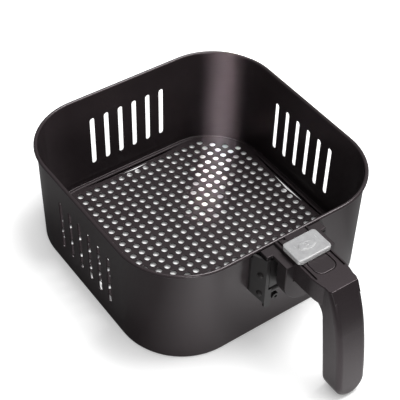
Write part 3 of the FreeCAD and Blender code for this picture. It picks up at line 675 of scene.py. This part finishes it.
hole_centres = [(i * hole_pitch, j * hole_pitch)
                for i in range(-hole_reach, hole_reach + 1)
                for j in range(-hole_reach, hole_reach + 1)
                if hole_fits(i * hole_pitch, j * hole_pitch)]
print("holes:", len(hole_centres))

# %% [markdown]
# A constrained triangulation takes the outline and the rings of the holes as edges that it has to
# keep, and fills the rest. It also fills the holes, so the triangles whose middle lies in one are
# thrown away afterwards.

# %% Fill the plate between its holes
only_inside, same_place = 1, 1e-9


def inside_hole(points, face):
    """True if a triangle's middle lies inside the many-sided ring of a hole."""
    reach = (hole_radius + lip) * math.cos(math.pi / hole_steps)
    middle = sum((points[i] for i in face), Vector((0, 0))) / len(face)
    near = (round(middle.x / hole_pitch) * hole_pitch, round(middle.y / hole_pitch) * hole_pitch)
    return math.dist(middle, near) < reach and hole_fits(*near)


def fill_plate():
    """Points and triangles of the flat plate: its outline with every hole left open."""
    flat = [p.to_2d() for p in plate_outline(rim_inset, 0)]
    edges = [(i, (i + 1) % len(flat)) for i in range(len(flat))]
    for centre in hole_centres:
        start = len(flat)
        flat += [p.to_2d() for p in hole_ring(centre, hole_radius + lip, 0)]
        edges += [(start + i, start + (i + 1) % hole_steps) for i in range(hole_steps)]
    made = delaunay_2d_cdt(flat, edges, [], only_inside, same_place)
    points, faces = made[0], made[2]
    return points, [face for face in faces if not inside_hole(points, face)]


flat_points, flat_faces = fill_plate()
print("plate: %d points, %d faces" % (len(flat_points), len(flat_faces)))

# %% [markdown]
# Each hole is a stack of rings from the top of the plate to its underside, and the funnel lists
# their radii and heights. The rolled edge is the same trick as the wall's rim, on a smaller circle:
# rings follow the curl from the top of the plate, over the outside and back underneath.

# %% Build the floor
edge_steps = 14
edge_start, edge_sweep = 125, 250
floor_weld_gap = 2e-7
bend_out, bend_down, burr = 0.35 * lip, 0.25 * lip, 0.3 * lip
funnel = ((hole_radius + lip, plate_high), (hole_radius + bend_out, plate_high - bend_down),
          (hole_radius, plate_high - lip), (hole_radius, plate_low + burr),
          (hole_radius + lip, plate_low))


def floor_mesh():
    points = [Vector((p.x, p.y, plate_high)) for p in flat_points]
    points += [Vector((p.x, p.y, plate_low)) for p in flat_points]
    count = len(flat_points)
    faces = [tuple(face) for face in flat_faces]
    faces += [tuple(i + count for i in reversed(face)) for face in flat_faces]
    stacks = [[hole_ring(centre, radius, z) for radius, z in funnel] for centre in hole_centres]
    rolled_edge = [plate_outline(rim_inset, plate_high)]
    for step in range(edge_steps + 1):
        turn = math.radians(edge_start - edge_sweep * step / edge_steps)
        rolled_edge.append(plate_outline(edge_radius - edge_radius * math.cos(turn),
                                         plate_low + edge_radius * math.sin(turn)))
    rolled_edge.append(plate_outline(rim_inset, plate_low))
    for rings in stacks + [rolled_edge]:
        faces += skin(rings, first=len(points))
        points += [p for ring in rings for p in ring]
    return points, faces


floor_plate = new_piece("drilled_floor", *floor_mesh())
weld(floor_plate, floor_weld_gap)
outward(floor_plate)
flat_faces_first(floor_plate)
place_piece(floor_plate, coating, "basket", "coated_steel", "basket_floor")

# %% [markdown]
# ## Guard
# The guard is a small clear cap that slides forward along two rails to hide the button. It is an
# injection moulding: even walls, a soft outer edge, a raised oval for the thumb and a pip in its
# middle. A cap like this is one closed skin, so we list its rings from the inside of the ceiling,
# down the inner walls, round the foot, up the outside, and in across the top to the pip. Every
# ring has the same number of points.

# %% Guard sizes
guard_low, guard_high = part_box("button_guard")
guard_half = (guard_high - guard_low) / 2
guard_y = (guard_low.y + guard_high.y) / 2
pip_rise = 1.1 * mm
cap_height = 4 * mm
cap_top = guard_high.z - pip_rise
cap_foot = cap_top - cap_height
cap_wall = 1.4 * mm
cap_corner, least_corner = 3 * mm, 0.4 * mm
cap_edge = 1 * mm
corner_points, side_points = 8, 3


def between(start, end):
    """The extra points of a straight side."""
    return [start.lerp(end, k / (side_points + 1)) for k in range(1, side_points + 1)]


def cap_ring(inset, z):
    """A rounded rectangle, inset from the guard's outside, with extra points along its sides."""
    half_x, half_y = guard_half.x - inset, guard_half.y - inset
    radius = max(cap_corner - inset, least_corner)
    ring = []
    for quarter in range(4):
        centre_x = (half_x - radius) * (1 if quarter in (0, 3) else -1)
        centre_y = (half_y - radius) * (1 if quarter in (0, 1) else -1)
        arc = []
        for step in range(corner_points + 1):
            turn = (quarter + step / corner_points) * math.pi / 2
            arc.append(Vector((centre_x + radius * math.cos(turn),
                               centre_y + radius * math.sin(turn), z)))
        if ring:
            ring += between(ring[-1], arc[0])
        ring += arc
    return ring + between(ring[-1], ring[0])


print("guard, mm: %.1f x %.1f" % (2 * guard_half.x / mm, 2 * guard_half.y / mm))

# %% [markdown]
# Two more kinds of ring finish the cap: quarter circles that round an edge, and ovals for the pad
# and the pip. The tables give each oval of the pad its spare width and its rise, and each circle
# of the pip its radius and its rise, all in millimetres.

# %% Rings of the cap
pad_half_x, pad_half_y = 7.4, 3.9
pad_profile = ((0.35, 0), (0.12, 0.08), (0, 0.3), (-0.12, 0.58), (-0.4, 0.7))
pip_profile = ((1.5, 0.7), (1.25, 0.74), (1.17, 0.92), (0.98, 1.05), (0.6, 1.1))


def oval_ring(half_x, half_y, z, pattern):
    """An oval whose points stand at the same angles as those of the pattern, a ring around it."""
    ring = []
    for point in pattern:
        turn = math.atan2(point.y / guard_half.y, point.x / guard_half.x)
        ring.append(Vector((half_x * math.cos(turn), half_y * math.sin(turn), z)))
    return ring


def quarter_rings(start_inset, end_inset, start_z, end_z, steps):
    """Rings round a quarter-circle edge that starts upright and ends level."""
    rings = []
    for step in range(steps + 1):
        turn = step / steps * math.pi / 2
        rings.append(cap_ring(start_inset + (end_inset - start_inset) * (1 - math.cos(turn)),
                              start_z + (end_z - start_z) * math.sin(turn)))
    return rings


print("points in a ring of the cap:", len(cap_ring(0, cap_top)))

# %% [markdown]
# Now the rings go into one list, in the order that a finger would trace them: the ceiling's edge
# from inside, the inner walls, the foot, the outer walls and their rounded edge, the pad, the pip.
# The two ends of the list are closed with one face each.

# %% Skin of the cap
inner_edge, foot_edge = 0.5 * mm, 0.15 * mm
inner_steps, outer_steps = 4, 6


def guard_mesh():
    ceiling = cap_top - cap_wall
    rings = quarter_rings(cap_wall, cap_wall + inner_edge, ceiling - inner_edge, ceiling,
                          inner_steps)[::-1]
    rings += [cap_ring(cap_wall, cap_foot + foot_edge), cap_ring(cap_wall - foot_edge, cap_foot),
              cap_ring(foot_edge, cap_foot), cap_ring(0, cap_foot + foot_edge)]
    rings += quarter_rings(0, cap_edge, cap_top - cap_edge, cap_top, outer_steps)
    pattern = rings[-1]
    for spare, rise in pad_profile:
        rings.append(oval_ring((pad_half_x + spare) * mm, (pad_half_y + spare) * mm,
                               cap_top + rise * mm, pattern))
    for radius, rise in pip_profile:
        rings.append(oval_ring(radius * mm, radius * mm, cap_top + rise * mm, pattern))
    points = [p + Vector((0, guard_y, 0)) for ring in rings for p in ring]
    count = len(pattern)
    faces = skin(rings)
    faces.append(tuple(range(count - 1, -1, -1)))
    faces.append(tuple(range(len(points) - count, len(points))))
    return points, faces


guard_points, guard_faces = guard_mesh()
print("cap: %d points, %d faces" % (len(guard_points), len(guard_faces)))

# %% [markdown]
# The rails are the part that nobody looks at and that makes the guard work. Each is a bar with
# chamfered edges that hangs under one side of the cap and runs in a groove of the handle. Its top
# reaches into the cap's wall, so that the two read as one moulding.

# %% Build the guard
rail_x = 12.6 * mm
rail_half, rail_chamfer = 0.6 * mm, 0.15 * mm
rail_end_gap, rail_into_cap = 1.2 * mm, 2 * mm


def add_rail(points, faces, x):
    """A bar with chamfered edges under a side of the cap, between its front and back walls."""
    half, inner = rail_half, rail_half - rail_chamfer
    low, high = guard_low.z, cap_foot + rail_into_cap
    low_in, high_in = low + rail_chamfer, high - rail_chamfer
    profile = [(-half, low_in), (-inner, low), (inner, low), (half, low_in),
               (half, high_in), (inner, high), (-inner, high), (-half, high_in)]
    start, corners = len(points), len(profile)
    rings = [[Vector((x + px, y, pz)) for px, pz in profile]
             for y in (guard_low.y + rail_end_gap, guard_high.y - rail_end_gap)]
    faces += skin(rings, first=start)
    points += [p for ring in rings for p in ring]
    faces.append(tuple(range(start + corners - 1, start - 1, -1)))
    faces.append(tuple(range(start + corners, start + 2 * corners)))


for side in (-1, 1):
    add_rail(guard_points, guard_faces, side * rail_x)
guard = new_piece("clear_guard", guard_points, guard_faces)
outward(guard)
flat_faces_first(guard)
place_piece(guard, guard_finish, "guard", "clear_plastic", "button_guard")

# %% [markdown]
# ## Dressing the frame
# Some pieces keep the frame's own shape, because it is already exact. They only need their finish.
# Each node arrives with a plain material that has its slot's name, so a table from that name to
# our finish dresses them all. The sleeve on the lower pin stands among dark parts and is as dark
# as the rivets, so it is dressed again by hand.

# %% Give every node its finish
our_finishes = (coating, handle_finish, collar_finish, button_finish, bracket_finish,
                rivet_finish, bare_finish, spring_finish, guard_finish)
finishes = {made.name.removesuffix("_finish"): made for made in our_finishes}


def slot_of(node):
    """The slot that a node's first material is named after, without Blender's own number."""
    return node.data.materials[0].name.split(".")[0]


slots = {name: slot_of(node) for name, node in nodes.items()}
for name, node in nodes.items():
    node.data.materials[0] = finishes[slots[name]]
nodes["pin_sleeve"].data.materials[0] = rivet_finish
print("slots dressed:", sorted(set(slots.values())))

# %% [markdown]
# ## The set
# The basket stands on a white sweep of paper. The floor is part of the stage, not of the object,
# so it rides on nothing. Its fibres vary the white a very little.

# %% Floor
floor_size = 12


def grey(level):
    return (level, level, level)


bpy.ops.mesh.primitive_grid_add(x_subdivisions=2, y_subdivisions=2, size=floor_size)
floor = bpy.context.object
floor.name = "studio_floor"
paper, paper_shader = start_finish("studio_paper", Roughness=0.85, Specular_IOR_Level=0.1)
fibres = tint(paper, grain(paper, size_mm=40, detail=3), dark=grey(0.78), light=grey(0.81))
floor.data.materials.append(paper)
print("floor:", floor.name, "metres across:", floor_size)

# %% [markdown]
# A dark object on white paper is a classic trap: paper bright enough to look white also fills
# every side of the object with its own reflection. In a studio that bounce is stopped with black
# card. Here there is no card: the paper answers the lens as white and everything else with a
# painted dark grey, a painted shade, save for a window in front of the basket, which is a painted
# pool of light. The window lights up the front wall and the grip in their reflections, as a gap
# between two black cards would.

# %% Bounce of the paper
window_middle = (-0.02, -0.21, 0)
window_inner, window_outer = 0.05, 0.17
# Painted shade and painted light in what the paper shows to other surfaces: dark grey everywhere,
# light grey in the window.
painted_shade_grey, gap = grey(0.20), grey(0.80)

# The window is a painted pool of light, a bright patch that only rays from other surfaces see.
reach = add(paper, "VectorMath", operation="DISTANCE")
reach.inputs[1].default_value = window_middle
join(paper, add(paper, "TexCoord").outputs["Object"], reach.inputs[0])
window = spread(paper, reach.outputs["Value"], 1.0, 0.0, start=window_inner, end=window_outer)
rays = add(paper, "LightPath")
bounce = tint(paper, window, dark=painted_shade_grey, light=gap, start=0, end=1)
answer = mix_colours(paper, rays.outputs["Is Camera Ray"], bounce, fibres)
join(paper, answer, paper_shader.inputs["Base Color"])
print("window in front of the basket, mm across:", 2 * window_outer / mm)

# %% [markdown]
# Paper lit only by lamps comes out grey near a dark object, so it also glows a little: towards the
# lens everywhere, and towards shiny surfaces from the window alone. The glow fades where the paper
# is hemmed in, as under the floor's holes, because ambient occlusion sets its colour.

# %% Glow of the paper
lens_glow, window_glow = 0.75, 0.45
hollow_reach = 60 * mm

shine = add(paper, "Math", operation="MULTIPLY")
join(paper, rays.outputs["Is Glossy Ray"], shine.inputs[0])
join(paper, spread(paper, window, 0.0, window_glow, start=0, end=1), shine.inputs[1])
glow = add(paper, "Math", operation="ADD")
to_lens = spread(paper, rays.outputs["Is Camera Ray"], 0.0, lens_glow, start=0, end=1)
join(paper, to_lens, glow.inputs[0])
join(paper, shine.outputs["Value"], glow.inputs[1])
join(paper, glow.outputs["Value"], paper_shader.inputs["Emission Strength"])
hollow = add(paper, "AmbientOcclusion", samples=8, Distance=hollow_reach)
join(paper, hollow.outputs["Color"], paper_shader.inputs["Emission Color"])
print("glow towards the lens %.2f, from the window %.2f" % (lens_glow, window_glow))

# %% [markdown]
# The room behind the paper is white to the lens, so that a low view has no grey horizon, and dim
# to everything else, so that it only lifts the shadows.

# %% The room
room_white, room_dim = 0.95, 0.2

world = bpy.data.worlds.new("studio")
bpy.context.scene.world = world
world.use_nodes = True
room = world.node_tree.nodes["Background"]
room.inputs["Color"].default_value = white
seen = world.node_tree.nodes.new("ShaderNodeLightPath")
strength = world.node_tree.nodes.new("ShaderNodeMapRange")
strength.inputs["To Min"].default_value = room_dim
strength.inputs["To Max"].default_value = room_white
world.node_tree.links.new(seen.outputs["Is Camera Ray"], strength.inputs["Value"])
world.node_tree.links.new(strength.outputs["Result"], room.inputs["Strength"])
print("room: white %.2f, dim %.2f" % (room_white, room_dim))

# %% [markdown]
# A large softbox hangs high on the right, so that the soft shadow falls to the left. A low, wide
# one in front brings up the front wall and the grip, yet passes over the near rim and leaves the
# floor alone. The narrow strip is a beam cut by a slit: it draws the bright streak down the far
# corner and on across the floor.

# %% Lights
def soft_light(name, place, aim, width, height, watts, beam=180):
    """A rectangle of light at a place, turned to its aim. Its beam is in degrees."""
    lamp = bpy.data.lights.new(name, "AREA")
    lamp.shape = "RECTANGLE"
    lamp.size, lamp.size_y = width, height
    lamp.energy = watts
    lamp.spread = math.radians(beam)
    stand = bpy.data.objects.new(name, lamp)
    stand.location = place
    stand.rotation_euler = (Vector(aim) - Vector(place)).to_track_quat("-Z", "Y").to_euler()
    bpy.context.collection.objects.link(stand)
    print("light: %s, %.3g W" % (name, watts))


soft_light("overhead", place=(0.52, -0.12, 1.5), aim=(0, 0, 0),
           width=0.9, height=0.9, watts=26)
soft_light("front_low", place=(-0.7, -1.75, 0.45), aim=(0, 0, 0.05),
           width=0.6, height=0.4, watts=10)
soft_light("slit", place=(-0.42, -0.42, 0.62), aim=(0.072, 0.072, 0.045),
           width=0.012, height=0.16, watts=0.055, beam=2.2)

# %% [markdown]
# ## The camera
# The basket is seen from the front left, from well above, with a long lens that keeps its sides
# nearly parallel. The camera is set by its aim, its distance and two angles, as on a tripod, and a
# slight roll leans the view a little.

# %% Camera
aim = Vector((26.26, 33.59, 0)) * mm
distance = 977.59 * mm
azimuth, elevation, roll = math.radians(-36.33), math.radians(44.57), math.radians(1.55)
sensor_mm, lens_mm = 36, 101.3

back = Vector((math.sin(azimuth) * math.cos(elevation),
               -math.cos(azimuth) * math.cos(elevation),
               math.sin(elevation)))
camera_data = bpy.data.cameras.new("portrait")
camera_data.sensor_width = sensor_mm
camera_data.lens = lens_mm
camera = bpy.data.objects.new("portrait", camera_data)
camera.location = aim + back * distance
camera.rotation_mode = "QUATERNION"
lean = Matrix.Rotation(roll, 4, "Z").to_quaternion()
camera.rotation_quaternion = (-back).to_track_quat("-Z", "Y") @ lean
bpy.context.collection.objects.link(camera)
bpy.context.scene.camera = camera
bpy.context.scene.view_settings.view_transform = "Standard"
print("camera at", tuple(round(v, 4) for v in camera.location))
